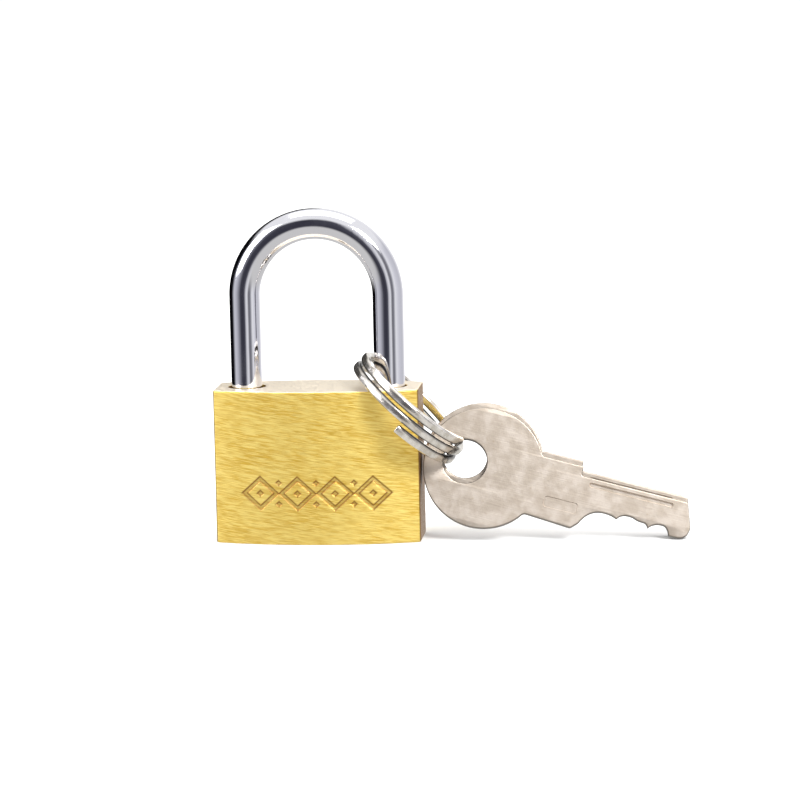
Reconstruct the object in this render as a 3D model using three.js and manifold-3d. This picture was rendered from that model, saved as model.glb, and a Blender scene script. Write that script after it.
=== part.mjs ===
// Small solid-brass padlock with a chromed shackle, a split ring and two keys.
//
// Frame, in millimetres: +Z runs up the shackle's legs, +X points to the heel leg, which carries
// the ring, and -Y is the front face. The origin is the middle of the body's top face. The latch
// and the four pin stacks lie along X and go in from the left end; the plug turns about Z and is
// reached from below. All pieces are drawn with the shackle locked and the keys out.

import * as THREE from "three";
import { mergeVertices } from "three/addons/utils/BufferGeometryUtils.js";
import Module from "manifold-3d";

// ---- Driving dimensions -------------------------------------------------------------------

// body
const bodyWidth = 30;
const bodyHeight = 22.5;
const bodyThickness = 12.8; // at the middle of the barrel-shaped plan
const endThickness = 8.2; // at the two flat ends
const cornerChamfer = 0.6;
const baseChamfer = 0.4;

// shackle
const wireDiameter = 4.5;
const legInset = 4.5; // from the body's flat ends to the legs' axes
const archHeight = 13.3; // the bend's centre above the body
const toeDepth = 6; // the short leg's reach into the body
const shackleLift = 6.6;
const neckDiameter = 3; // the turned-down length of the heel
const collarLength = 1.55;
const collarDiameter = 4.4;
const holeClearance = 0.3; // round the heel leg
const toeHoleClearance = 0.5; // round the toe leg
const heelHoleDepth = 18;
const toeHoleDepth = 7.3;
const heelPinDiameter = 1.5;
const heelPinDepth = 4.7; // below the body's top
const heelPinGap = 0.15; // between the pin and the neck, and above and below it at the stops

// latch
const latchDiameter = 4.1;
const latchDepth = 3; // the latch's axis below the body's top
const latchTail = 3; // the tail's place on X
const notchDepth = 0.75;
const noseFlat = 0.25; // height of the nose's blunt tip
const noseClearance = 0.15;
const noseShoulder = 0.6; // from the toe leg's inner side to the full round shank
const studSlot = 1.5;
const slotHeadroom = 0.4; // above the stud's end
const springPocketDiameter = 3;
const springPocketDepth = 2.2;
const latchBoreEnd = 6.9;

// plug
const plugDiameter = 7.6;
const plugHeadroom = 5; // the bore's blind end below the body's top
const plugEndGap = 0.3;
const studRadius = 0.55;
const studOrbit = 1.6;
const studReach = 2.1; // above the plug's end
const studClearance = 0.2;
const plugTurn = 90; // degrees, from locked to open
const keywayWidth = 2.2;
const keywayInner = 1.7; // the slot's closed side, left of the plug's axis
const keywayLength = 13.9;
const plugPinDiameter = 1.4;
const plugPinBelowEnd = 1.9; // from the plug's inner end down to the pin's axis
const grooveDepth = 0.8;
const grooveSideGap = 0.15; // above and below the pin
const grooveFloorGap = 0.2;
const crossPinSink = 0.3; // a cross pin's end under the back face, and its other end's gap
const pressGap = 0.05; // drawn round every pressed-in piece
const runningGap = 0.08; // between a turning or sliding piece and its bore

// pin stacks
const pinCount = 4;
const pinDiameter = 2.1;
const pinPitch = 2.8;
const firstPin = 3; // above the body's base
const keyPinLengths = [1.5, 2.1, 1.8, 2.4];
const driverLength = 3;
const shearGap = 0.1; // from the shear line to each pin's end
const capLength = 1.6;
const pinClearance = 0.02; // on the pin's radius
const springWire = 0.3;
const springTurns = 5;
const springClearance = 0.2; // on a spring's diameter
const shackleSpringWire = 0.5;
const shackleSpringTurns = 3;

// ring
const ringDiameter = 20.1; // outside
const ringRadial = 1.1; // the flattened wire's size towards the ring's middle
const ringAxial = 1.35; // and along the ring's axis
const ringPitch = 1.75;
const ringStart = -88; // degrees; 0 is the lowest point, where the keys hang, and 90 the back
const ringEnd = 695;
const ringSlope = 43; // degrees, down towards the keys
const ringInset = 1.5; // from the body's right end to the ring's centre
const ringDrop = 2.95; // from the body's top down to it

// keys
const bowDiameter = 17.6;
const keyHoleDiameter = 6.4;
const keyHoleOffset = 2.85; // from the bow's centre, away from the blade
const keyThickness = 1.8;
const keyGap = 0.3; // between the two keys, before the rear one is moved across
const keySlope = 14.5; // degrees, down towards the tip
const keyLean = 16; // degrees, the upper edge back
const collarEnd = 14.1; // distances from here on are from the bow's centre
const collarTop = 3.9;
const bladeTop = 2;
const keyLength = 31.2;
const collarFoot = 15.3;
const collarBottom = 5.6;
const footCorner = 1.1; // cut off the collar's lower corner
const bittingDepths = [2.5, 2.0, 2.3, 2.1]; // of the cuts, below the key's axis, from bow to tip
const bladeBottom = 2.95;
const tipBottom = 3.3;
const tipLength = 3; // of the uncut tip
const tipNose = 1.9; // the rounded lower corner's length and height
const tipSlope = 1.2; // the sloped upper corner's length
const keyGroove = 0.35; // depth of the groove along each side of the blade
const frontGroove = [0.7, 1.5]; // its lower and upper edge on the front side
const rearGroove = [-0.9, 0];
const frontKeyAlong = 2; // the hole's centre past the ring's two wires
const rearKeyAlong = 1.35;
const rearKeyAcross = 0.75;

// ---- Worked out from them -----------------------------------------------------------------

const halfWidth = bodyWidth / 2;
const wireRadius = wireDiameter / 2;
const heelX = halfWidth - legInset;
const toeX = -heelX;
const toeInner = toeX + wireRadius;
const latchRadius = latchDiameter / 2;
const plugRadius = plugDiameter / 2;
const pinRadius = pinDiameter / 2;
const noseHeight = -latchDepth + latchRadius / 3;
const latchTravel = 2 * studOrbit * Math.sin(THREE.MathUtils.degToRad(plugTurn / 2));
const liftPerTravel = shackleLift / latchTravel;
const plugTop = -plugHeadroom - plugEndGap;
const studX = -latchTravel / 2;
const studY = -Math.sqrt(studOrbit ** 2 - studX ** 2);
const heelHoleRadius = wireRadius + holeClearance;
const heelPinReach = heelPinDiameter / 2 + heelPinGap;
const neckTop = heelPinDepth - heelPinReach;
const heelDepth = heelPinDepth + heelPinReach + shackleLift + collarLength;
const heelPinX = heelX + neckDiameter / 2 + heelPinReach;
const plugPinX = plugRadius + plugPinDiameter / 2 - grooveDepth + grooveFloorGap;
const plugPinZ = plugTop - plugPinBelowEnd;
const chamberRadius = pinRadius + pressGap;
const shearX = -plugRadius;
const capInner = -halfWidth + capLength;
const pinHeights = Array.from({ length: pinCount }, (_, i) => -bodyHeight + firstPin + i * pinPitch);
const ringRadius = (ringDiameter - ringRadial) / 2;
const ringCentre = new THREE.Vector3(halfWidth - ringInset, 0, -ringDrop);
const keySpacing = keyThickness + keyGap; // between the two keys' middles
const overrun = 1; // how far a cutting shape stands past the face it cuts
const bite = 0.2; // how far two joined shapes run into each other

// ---- Solids -------------------------------------------------------------------------------

const wasm = await Module();
wasm.setup();

function toSolid(geometry) {
  const bare = geometry.clone();
  bare.deleteAttribute("normal");
  bare.deleteAttribute("uv");
  const merged = mergeVertices(bare, 1e-4);
  return new wasm.Manifold(new wasm.Mesh({
    numProp: 3,
    vertProperties: Float32Array.from(merged.attributes.position.array),
    triVerts: Uint32Array.from(merged.index.array),
  }));
}

function toGeometry(solid) {
  const mesh = solid.getMesh();
  const geometry = new THREE.BufferGeometry();
  geometry.setAttribute("position", new THREE.BufferAttribute(mesh.vertProperties, 3));
  geometry.setIndex(new THREE.BufferAttribute(mesh.triVerts, 1));
  geometry.computeVertexNormals();
  return geometry;
}

function carve(base, cuts) {
  return cuts.reduce((left, cut) => left.subtract(cut), base);
}

function join(pieces) {
  return pieces.reduce((whole, piece) => whole.add(piece));
}

// A round bar along X, Y or Z between two places on that axis, with its axis through `at`.
function barGeometry(axis, radius, from, to, at = [0, 0, 0], sides = 32) {
  const geometry = new THREE.CylinderGeometry(radius, radius, Math.abs(to - from), sides);
  if (axis === "x") geometry.rotateZ(-Math.PI / 2);
  if (axis === "z") geometry.rotateX(Math.PI / 2);
  const centre = new THREE.Vector3(...at);
  centre[axis] = (from + to) / 2;
  return geometry.translate(centre.x, centre.y, centre.z);
}

function bar(...sizes) {
  return toSolid(barGeometry(...sizes));
}

function block(low, high) {
  const [a, b] = [new THREE.Vector3(...low), new THREE.Vector3(...high)];
  const size = b.clone().sub(a);
  const centre = a.add(b).multiplyScalar(0.5);
  return toSolid(new THREE.BoxGeometry(size.x, size.y, size.z).translate(centre.x, centre.y, centre.z));
}

// A flat outline in X and Z, given a width along Y.
function prismAcross(points, width) {
  const shape = new THREE.Shape(points.map(([x, z]) => new THREE.Vector2(x, z)));
  const geometry = new THREE.ExtrudeGeometry(shape, { depth: width, bevelEnabled: false });
  return toSolid(geometry.rotateX(Math.PI / 2).translate(0, width / 2, 0));
}

function material(color, roughness, metalness = 1) {
  return new THREE.MeshStandardMaterial({ color, roughness, metalness });
}

const finishes = {
  brushedBrass: () => material(0xe0c268, 0.38),
  turnedBrass: () => material(0xcfae5c, 0.35),
  chrome: () => material(0xdcdce2, 0.08),
  nickelKey: () => material(0xd2c8ba, 0.32),
  nickelWire: () => material(0xc9c5be, 0.22),
  steel: () => material(0xa8a8ad, 0.35),
};

function piece(name, shape, finish) {
  const geometry = shape.isBufferGeometry ? shape : toGeometry(shape);
  const mesh = new THREE.Mesh(geometry, finishes[finish]());
  mesh.name = name;
  return mesh;
}

// ---- Body ---------------------------------------------------------------------------------

// The plan: flat ends, and a front and back that bulge by the same circular arc.
const bulge = (bodyThickness - endThickness) / 2;
const arcRadius = (halfWidth ** 2 + bulge ** 2) / (2 * bulge);

function planShape(inset) {
  const endY = endThickness / 2;
  const centreY = bodyThickness / 2 - arcRadius;
  const radius = arcRadius - inset;
  const x = halfWidth - cornerChamfer - inset;
  const reach = Math.atan2(x, Math.sqrt(radius ** 2 - x ** 2));
  const shape = new THREE.Shape();
  shape.absarc(0, centreY, radius, Math.PI / 2 - reach, Math.PI / 2 + reach, false);
  shape.lineTo(-halfWidth + inset, endY - cornerChamfer);
  shape.lineTo(-halfWidth + inset, -endY + cornerChamfer);
  shape.absarc(0, -centreY, radius, -Math.PI / 2 - reach, -Math.PI / 2 + reach, false);
  shape.lineTo(halfWidth - inset, -endY + cornerChamfer);
  shape.lineTo(halfWidth - inset, endY - cornerChamfer);
  shape.closePath();
  return shape;
}

function makeBody() {
  const block = new THREE.ExtrudeGeometry(planShape(baseChamfer / 2), {
    depth: bodyHeight - baseChamfer,
    bevelEnabled: true,
    bevelSegments: 1,
    bevelThickness: baseChamfer / 2,
    bevelSize: baseChamfer / 2,
    curveSegments: 14,
  }).translate(0, 0, -bodyHeight + baseChamfer / 2);
  const backY = bodyThickness / 2 + overrun;
  const latchZ = -latchDepth;
  return carve(toSolid(block), [
    bar("z", heelHoleRadius, -heelHoleDepth, overrun, [heelX, 0, 0]),
    bar("z", wireRadius + toeHoleClearance, -toeHoleDepth, overrun, [toeX, 0, 0]),
    bar("z", plugRadius + runningGap, -bodyHeight - overrun, -plugHeadroom, [0, 0, 0], 48),
    bar("z", studOrbit + studRadius + studClearance, plugTop, latchZ, [0, 0, 0], 24),
    bar("x", latchRadius + runningGap, -halfWidth - overrun, latchBoreEnd, [0, 0, latchZ]),
    bar("y", heelPinDiameter / 2 + pressGap, -heelHoleRadius, backY, [heelPinX, 0, -heelPinDepth], 20),
    bar("y", plugPinDiameter / 2 + pressGap, -plugRadius, backY, [plugPinX, 0, plugPinZ], 20),
    ...pinHeights.map((z) =>
      bar("x", chamberRadius, -halfWidth - overrun, -plugRadius / 2, [0, 0, z], 24)),
  ]);
}

// ---- Shackle ------------------------------------------------------------------------------

// Up the toe leg, round the half circle and down the heel leg, at an even pace.
class ShacklePath extends THREE.Curve {
  constructor() {
    super();
    this.toeLength = toeDepth + archHeight;
    this.bend = Math.PI * heelX;
    this.heelLength = archHeight + neckTop;
    this.total = this.toeLength + this.bend + this.heelLength;
  }

  getPoint(t, target = new THREE.Vector3()) {
    const s = t * this.total;
    if (s < this.toeLength) return target.set(toeX, 0, -toeDepth + s);
    if (s > this.toeLength + this.bend) return target.set(heelX, 0, -neckTop + this.total - s);
    const angle = Math.PI - (s - this.toeLength) / heelX;
    return target.set(heelX * Math.cos(angle), 0, archHeight + heelX * Math.sin(angle));
  }
}

function circleShape(radius) {
  const shape = new THREE.Shape();
  shape.absarc(0, 0, radius, 0, Math.PI * 2, false);
  return shape;
}

// The nose in X and Z: blunt at its tip, a 45 degree upper flank that the shackle pushes in
// when it is snapped shut, and a steep lower flank as steep as the shackle's lift per latch travel.
function noseOutline(grow) {
  const tip = toeInner - notchDepth - grow;
  const root = toeInner + 1;
  const tipTop = noseHeight + grow;
  const tipBottom = tipTop - noseFlat - 2 * grow;
  const run = root - tip;
  return [
    [root, tipBottom - run * liftPerTravel],
    [root, tipTop + run],
    [tip, tipTop],
    [tip, tipBottom],
  ];
}

function makeShackle() {
  const bend = new THREE.ExtrudeGeometry(circleShape(wireRadius), {
    extrudePath: new ShacklePath(),
    steps: 60,
    bevelEnabled: false,
    curveSegments: 8,
  });
  const heelEnd = -heelDepth;
  return join([
    toSolid(bend),
    bar("z", neckDiameter / 2, heelEnd, -neckTop + overrun, [heelX, 0, 0], 24),
    bar("z", collarDiameter / 2, heelEnd, heelEnd + collarLength, [heelX, 0, 0], 24),
  ]).subtract(prismAcross(noseOutline(noseClearance), wireDiameter + overrun));
}

// ---- Latch --------------------------------------------------------------------------------

function makeLatch() {
  const z = -latchDepth;
  const shankEnd = toeInner + noseShoulder;
  const shank = bar("x", latchRadius, shankEnd, latchTail, [0, 0, z]);
  const nose = bar("x", latchRadius, toeInner - notchDepth - overrun, shankEnd + bite, [0, 0, z])
    .intersect(prismAcross(noseOutline(0), latchDiameter + overrun));
  const slotRoof = plugTop + studReach + slotHeadroom;
  return carve(join([shank, nose]), [
    block([studX - studSlot / 2, -latchDiameter, z - latchDiameter],
      [studX + studSlot / 2, latchDiameter, slotRoof]),
    bar("x", springPocketDiameter / 2, latchTail - springPocketDepth, latchTail + overrun, [0, 0, z], 24),
  ]);
}

// ---- Plug ---------------------------------------------------------------------------------

function makePlug() {
  const base = -bodyHeight;
  const groove = plugPinDiameter + 2 * grooveSideGap;
  const barrel = join([
    bar("z", plugRadius, base, plugTop, [0, 0, 0], 48),
    bar("z", studRadius, plugTop - overrun, plugTop + studReach, [studX, studY, 0], 16),
  ]);
  const ring = bar("z", plugRadius + overrun, plugPinZ - groove / 2, plugPinZ + groove / 2, [0, 0, 0], 48)
    .subtract(bar("z", plugRadius - grooveDepth, plugPinZ - groove, plugPinZ + groove, [0, 0, 0], 48));
  return carve(barrel, [
    ring,
    block([-keywayInner, -keywayWidth / 2, base - overrun],
      [plugRadius + overrun, keywayWidth / 2, base + keywayLength]),
    ...pinHeights.map((z) => bar("x", chamberRadius, shearX - overrun, -keywayInner / 2, [0, 0, z], 24)),
  ]);
}

// ---- Springs ------------------------------------------------------------------------------

// A helix along X, its wire's outside touching neither end of the space it is given.
class SpringPath extends THREE.Curve {
  constructor(radius, length, turns) {
    super();
    Object.assign(this, { radius, length, turns });
  }

  getPoint(t, target = new THREE.Vector3()) {
    const angle = t * this.turns * 2 * Math.PI;
    return target.set(t * this.length, this.radius * Math.cos(angle), this.radius * Math.sin(angle));
  }
}

function springGeometry(outerDiameter, from, to, turns = springTurns, wire = springWire) {
  const gap = wire / 2 + runningGap;
  const path = new SpringPath((outerDiameter - wire) / 2, to - from - 2 * gap, turns);
  return new THREE.ExtrudeGeometry(circleShape(wire / 2), {
    extrudePath: path,
    steps: turns * 8,
    bevelEnabled: false,
    curveSegments: 3,
  }).translate(from + gap, 0, 0);
}

// ---- Ring ---------------------------------------------------------------------------------

// The ring's own axes: `along` points down the slope to the keys, and `axis` is square to the ring.
const slope = THREE.MathUtils.degToRad(ringSlope);
const along = new THREE.Vector3(Math.cos(slope), 0, -Math.sin(slope));
const axis = new THREE.Vector3(Math.sin(slope), 0, Math.cos(slope));
const backward = new THREE.Vector3(0, 1, 0);

function ringPoint(degrees, target = new THREE.Vector3()) {
  const angle = THREE.MathUtils.degToRad(degrees);
  return target.copy(ringCentre)
    .addScaledVector(along, ringRadius * Math.cos(angle))
    .addScaledVector(backward, ringRadius * Math.sin(angle))
    .addScaledVector(axis, ringPitch * (degrees / 360 - 1));
}

// A flat coil of a little over two turns. Its section keeps square to the ring's axis.
class RingPath extends THREE.Curve {
  getPoint(t, target = new THREE.Vector3()) {
    return ringPoint(THREE.MathUtils.lerp(ringStart, ringEnd, t), target);
  }

  computeFrenetFrames(segments) {
    const steps = Array.from({ length: segments + 1 }, (_, i) => i / segments);
    const tangents = steps.map((t) => this.getTangentAt(t));
    const normals = steps.map((t, i) => {
      const inward = this.getPointAt(t).sub(ringCentre).negate();
      return inward.addScaledVector(axis, -inward.dot(axis))
        .addScaledVector(tangents[i], -inward.dot(tangents[i])).normalize();
    });
    const binormals = normals.map((normal, i) => tangents[i].clone().cross(normal));
    return { tangents, normals, binormals };
  }
}

function ringSection() {
  const [a, b] = [ringRadial / 2, ringAxial / 2];
  const cut = ringRadial / 4;
  return new THREE.Shape([
    [a, -b + cut], [a, b - cut], [a - cut, b], [-a + cut, b],
    [-a, b - cut], [-a, -b + cut], [-a + cut, -b], [a - cut, -b],
  ].map(([x, y]) => new THREE.Vector2(x, y)));
}

function makeRing() {
  return new THREE.ExtrudeGeometry(ringSection(), {
    extrudePath: new RingPath(),
    steps: 80,
    bevelEnabled: false,
  });
}

// ---- Keys ---------------------------------------------------------------------------------

// The outline, x along the key from the bow's centre and y up: a round bow, a stepped collar
// that stops against the plug, and a blade with one cut for each pin stack.
function keyShape() {
  const bow = bowDiameter / 2;
  const shape = new THREE.Shape();
  const neckAngle = Math.asin(collarTop / bow);
  const footAngle = Math.asin(collarBottom / bow);
  shape.absarc(0, 0, bow, neckAngle, 2 * Math.PI - footAngle, false);
  shape.lineTo(collarFoot - footCorner, -collarBottom);
  shape.lineTo(collarFoot, -collarBottom + footCorner);
  const spacing = (keyLength - tipLength - collarFoot) / bittingDepths.length;
  bittingDepths.forEach((depth, i) => {
    const at = (share) => collarFoot + (i + share) * spacing;
    shape.quadraticCurveTo(at(0.15), -depth, at(0.45), -depth);
    shape.quadraticCurveTo(at(0.8), -depth, at(1), -bladeBottom);
  });
  shape.lineTo(keyLength - tipLength + tipBottom - bladeBottom, -tipBottom);
  shape.lineTo(keyLength - tipNose, -tipBottom);
  shape.quadraticCurveTo(keyLength, -tipBottom, keyLength, -tipBottom + tipNose);
  shape.lineTo(keyLength - tipSlope, bladeTop);
  shape.lineTo(collarEnd, bladeTop);
  shape.lineTo(collarEnd, collarTop);
  shape.closePath();
  const hole = new THREE.Path();
  hole.absarc(-keyHoleOffset, 0, keyHoleDiameter / 2, 0, Math.PI * 2, true);
  shape.holes.push(hole);
  return shape;
}

function makeKey() {
  const half = keyThickness / 2;
  const blank = new THREE.ExtrudeGeometry(keyShape(), {
    depth: keyThickness,
    bevelEnabled: false,
    curveSegments: 14,
  }).translate(keyHoleOffset, 0, -half);
  const from = keyHoleOffset + collarFoot;
  const to = keyHoleOffset + keyLength + overrun;
  return carve(toSolid(blank), [
    block([from, frontGroove[0], half - keyGroove], [to, frontGroove[1], half + overrun]),
    block([from, rearGroove[0], -half - overrun], [to, rearGroove[1], -half + keyGroove]),
  ]);
}

// Places a key with its hole's centre at a point: the blade slopes down and the top leans back.
function placeKey(mesh, hole) {
  mesh.position.copy(hole);
  const down = THREE.MathUtils.degToRad(keySlope);
  const lean = THREE.MathUtils.degToRad(keyLean);
  const key = new THREE.Vector3(Math.cos(down), 0, -Math.sin(down));
  const up = new THREE.Vector3(Math.sin(down), 0, Math.cos(down));
  const upLeaning = up.multiplyScalar(Math.cos(lean)).addScaledVector(backward, Math.sin(lean));
  const front = key.clone().cross(upLeaning);
  mesh.setRotationFromMatrix(new THREE.Matrix4().makeBasis(key, upLeaning, front));
  return mesh;
}

// ---- Assembly -----------------------------------------------------------------------------

const padlock = new THREE.Group();
padlock.add(
  piece("lock_body", makeBody(), "brushedBrass"),
  piece("shackle", makeShackle(), "chrome"),
  piece("latch", makeLatch(), "turnedBrass"),
  piece("cylinder_plug", makePlug(), "turnedBrass"),
);

// A pin pressed in through the back, from the far side of the bore it crosses.
function crossPin(diameter, boreRadius, x, z) {
  const backFace = bodyThickness / 2 - arcRadius + Math.sqrt(arcRadius ** 2 - x ** 2);
  return barGeometry("y", diameter / 2, -boreRadius + crossPinSink, backFace - crossPinSink, [x, 0, z], 20);
}

padlock.add(
  piece("heel_pin", crossPin(heelPinDiameter, heelHoleRadius, heelPinX, -heelPinDepth), "steel"),
  piece("plug_pin", crossPin(plugPinDiameter, plugRadius, plugPinX, plugPinZ), "steel"),
  piece("latch_bore_cap",
    barGeometry("x", latchRadius, -halfWidth, capInner, [0, 0, -latchDepth]), "turnedBrass"),
);

const latchSpring = piece("latch_spring",
  springGeometry(springPocketDiameter - springClearance, latchTail - springPocketDepth, latchBoreEnd), "steel");
latchSpring.position.z = -latchDepth;
const shackleSpring = piece("shackle_spring",
  springGeometry(collarDiameter - springClearance, 0, heelHoleDepth - heelDepth,
    shackleSpringTurns, shackleSpringWire), "steel");
shackleSpring.position.set(heelX, 0, -heelHoleDepth);
shackleSpring.rotation.y = -Math.PI / 2;
padlock.add(latchSpring, shackleSpring);

const pinBar = (from, to) => barGeometry("x", pinRadius - pinClearance, from, to, [0, 0, 0], 20);
pinHeights.forEach((z, i) => {
  const stack = new THREE.Group();
  stack.position.z = z;
  const driverInner = shearX - shearGap;
  const driverOuter = driverInner - driverLength;
  const number = i + 1;
  const keyPinOuter = shearX + shearGap;
  stack.add(
    piece(`key_pin_${number}`,
      pinBar(keyPinOuter, keyPinOuter + keyPinLengths[i]), "turnedBrass"),
    piece(`driver_pin_${number}`, pinBar(driverOuter, driverInner), "turnedBrass"),
    piece(`pin_spring_${number}`,
      springGeometry(pinDiameter - springClearance, capInner, driverOuter), "steel"),
    piece(`chamber_cap_${number}`,
      barGeometry("x", pinRadius, -halfWidth, capInner, [0, 0, 0], 24), "turnedBrass"),
  );
  padlock.add(stack);
});

const ring = piece("key_ring", makeRing(), "nickelWire");
const wires = ringPoint(0).add(ringPoint(360)).multiplyScalar(0.5);
const keyFront = placeKey(piece("key_front", makeKey(), "nickelKey"), wires);
const keyNormal = new THREE.Vector3(0, 0, 1).applyQuaternion(keyFront.quaternion);
keyFront.position.addScaledVector(along, frontKeyAlong).addScaledVector(keyNormal, keySpacing / 2);
const keyRear = placeKey(piece("key_rear", makeKey(), "nickelKey"), wires);
keyRear.position.addScaledVector(along, rearKeyAlong).addScaledVector(axis, rearKeyAcross)
  .addScaledVector(keyNormal, -keySpacing / 2);
padlock.add(ring, keyFront, keyRear);

export default padlock;
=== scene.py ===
"""A small brass padlock with a chromed shackle, a split ring and two nickel-plated keys.

Frame: +Z runs up the shackle's legs, +X points to the leg that carries the ring, and -Y is the
front. The origin is the middle of the body's top face. Sizes in the classes are in millimetres;
a finished mesh is in metres, with its object at the origin.
"""

import logging
import math
from dataclasses import dataclass, field
from enum import Enum
from typing import Sequence

import bmesh
import bpy
import numpy as np
from mathutils import Matrix, Vector
from mathutils.geometry import tessellate_polygon


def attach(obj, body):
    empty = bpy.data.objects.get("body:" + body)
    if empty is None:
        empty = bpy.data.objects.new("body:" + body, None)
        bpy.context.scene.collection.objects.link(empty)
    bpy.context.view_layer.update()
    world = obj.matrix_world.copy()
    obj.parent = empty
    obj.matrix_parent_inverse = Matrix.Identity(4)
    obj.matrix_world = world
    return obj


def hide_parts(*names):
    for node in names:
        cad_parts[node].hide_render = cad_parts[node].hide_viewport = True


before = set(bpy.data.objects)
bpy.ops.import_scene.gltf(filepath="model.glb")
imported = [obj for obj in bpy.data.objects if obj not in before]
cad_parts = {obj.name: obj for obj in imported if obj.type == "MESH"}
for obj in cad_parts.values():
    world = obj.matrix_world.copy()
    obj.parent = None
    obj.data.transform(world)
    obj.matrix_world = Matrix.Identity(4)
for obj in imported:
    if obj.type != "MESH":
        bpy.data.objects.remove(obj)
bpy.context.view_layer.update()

MM = 0.001
MERGE = 1e-7  # metres; surfaces that share an edge give it exactly the same points
FULL_TURN = 2 * math.pi
RIGHT_ANGLE = math.pi / 2
RIM = np.linspace(0, RIGHT_ANGLE, 5)  # the angles round a rounded rim

log = logging.getLogger("padlock")


class Slot(Enum):
    """The material slots."""

    BODY = "brass_body"
    TURNED = "turned_brass"
    CHROME = "chrome_shackle"
    KEYS = "nickel_keys"
    RING = "nickel_ring"
    STEEL = "spring_steel"


class Side(Enum):
    """Which flat face of a key something is cut into."""

    FRONT = 1
    REAR = -1


# ---- Plane and space curves -----------------------------------------------------------------


def circle(radius: float, count: int, centre: Sequence[float] = (0, 0)) -> np.ndarray:
    """Returns `count` points of a circle, counterclockwise."""
    angle = np.linspace(0, FULL_TURN, count, endpoint=False)
    return np.stack([np.cos(angle), np.sin(angle)], 1) * radius + np.asarray(centre)


def arc(centre: Sequence[float], radius: float, start: float, end: float, count: int) -> np.ndarray:
    """Returns points from angle `start` to angle `end`, both included, in radians."""
    angle = np.linspace(start, end, count)
    return np.stack([np.cos(angle), np.sin(angle)], 1) * radius + np.asarray(centre)


def bezier(start: Sequence[float], control: Sequence[float], end: Sequence[float], count: int) -> np.ndarray:
    """Returns a quadratic curve's points after its start."""
    t = np.linspace(0, 1, count + 1)[1:, None]
    a, b, c = (np.asarray(p, float) for p in (start, control, end))
    return (1 - t) ** 2 * a + 2 * t * (1 - t) * b + t**2 * c


def rounded(corners: np.ndarray, reach: float | Sequence[float], steps: int = 4,
            closed: bool = True) -> np.ndarray:
    """Replaces each corner by a quadratic curve.

    Args:
        corners: the line's corners, one row each.
        reach: how far from each corner its curve starts, at most half of the shorter neighbour.
        steps: segments in each curve.
        closed: whether the last corner joins the first; an open line keeps its two ends.

    Returns:
        The rounded line's points.
    """
    corners = np.asarray(corners, float)
    before = np.roll(corners, 1, 0) - corners
    after = np.roll(corners, -1, 0) - corners
    before_length = np.linalg.norm(before, axis=1)
    after_length = np.linalg.norm(after, axis=1)
    reach = np.minimum(np.minimum(reach, 0.48 * before_length), 0.48 * after_length)[:, None]
    start = corners + before / before_length[:, None] * reach
    end = corners + after / after_length[:, None] * reach
    t = np.linspace(0, 1, steps + 1)[None, :, None]
    curve = (1 - t) ** 2 * start[:, None] + 2 * t * (1 - t) * corners[:, None] + t**2 * end[:, None]
    if closed:
        return curve.reshape(-1, corners.shape[1])
    inner = curve[1:-1].reshape(-1, corners.shape[1])
    return np.concatenate([corners[:1], inner, corners[-1:]])


def spread(loop: np.ndarray, spacing: float) -> np.ndarray:
    """Returns a closed line with points added so that none are more than `spacing` apart."""
    step = np.roll(loop, -1, 0) - loop
    length = np.linalg.norm(step, axis=1)
    keep = length > 1e-6
    loop, step, length = loop[keep], step[keep], length[keep]
    parts = np.ceil(length / spacing).astype(int)
    index = np.repeat(np.arange(len(loop)), parts)
    share = (np.arange(parts.sum()) - np.repeat(np.cumsum(parts) - parts, parts)) / parts[index]
    return loop[index] + step[index] * share[:, None]


def inset(loop: np.ndarray, distance: float) -> np.ndarray:
    """Moves a counterclockwise closed line inward, along the mean of its edges' normals."""
    edge = np.roll(loop, -1, 0) - loop
    normal = np.stack([-edge[:, 1], edge[:, 0]], 1)
    normal /= np.linalg.norm(normal, axis=1, keepdims=True)
    mean = normal + np.roll(normal, 1, 0)
    mean /= np.linalg.norm(mean, axis=1, keepdims=True)
    cosine = np.maximum((mean * normal).sum(1, keepdims=True), 0.5)
    return loop + mean * distance / cosine


def smoothstep(value: np.ndarray, low: float, high: float) -> np.ndarray:
    """Rises from 0 at `low` to 1 at `high`, level at both."""
    t = np.clip((value - low) / (high - low), 0, 1)
    return t * t * (3 - 2 * t)


def diamond(x: np.ndarray, z: np.ndarray, half: tuple[float, float]) -> np.ndarray:
    """Returns the distance outside a lozenge: (|x|/a + |z|/b - 1) a b / sqrt(a^2 + b^2)."""
    a, b = half
    return (x / a + z / b - 1) * a * b / math.hypot(a, b)


def level(loop: np.ndarray, height: float) -> np.ndarray:
    """Puts a plane loop at one height."""
    return np.column_stack([loop, np.full(len(loop), height)])


# ---- Meshes ---------------------------------------------------------------------------------


@dataclass(frozen=True)
class Axes:
    """Where a part's own X, Y and Z point, and where its origin is."""

    origin: tuple[float, float, float] = (0, 0, 0)
    x: tuple[float, float, float] = (1, 0, 0)
    y: tuple[float, float, float] = (0, 1, 0)
    z: tuple[float, float, float] = (0, 0, 1)

    def place(self, points: np.ndarray) -> np.ndarray:
        """Turns points in these axes into points in the frame."""
        return points @ np.array([self.x, self.y, self.z]) + np.array(self.origin)

    @staticmethod
    def along_x(x: float, y: float, z: float) -> "Axes":
        """Axes whose own Z runs along the frame's X."""
        return Axes((x, y, z), (0, 1, 0), (0, 0, 1), (1, 0, 0))

    @staticmethod
    def along_y(x: float, y: float, z: float) -> "Axes":
        """Axes whose own Z runs along the frame's Y."""
        return Axes((x, y, z), (0, 0, 1), (1, 0, 0), (0, 1, 0))


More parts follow.
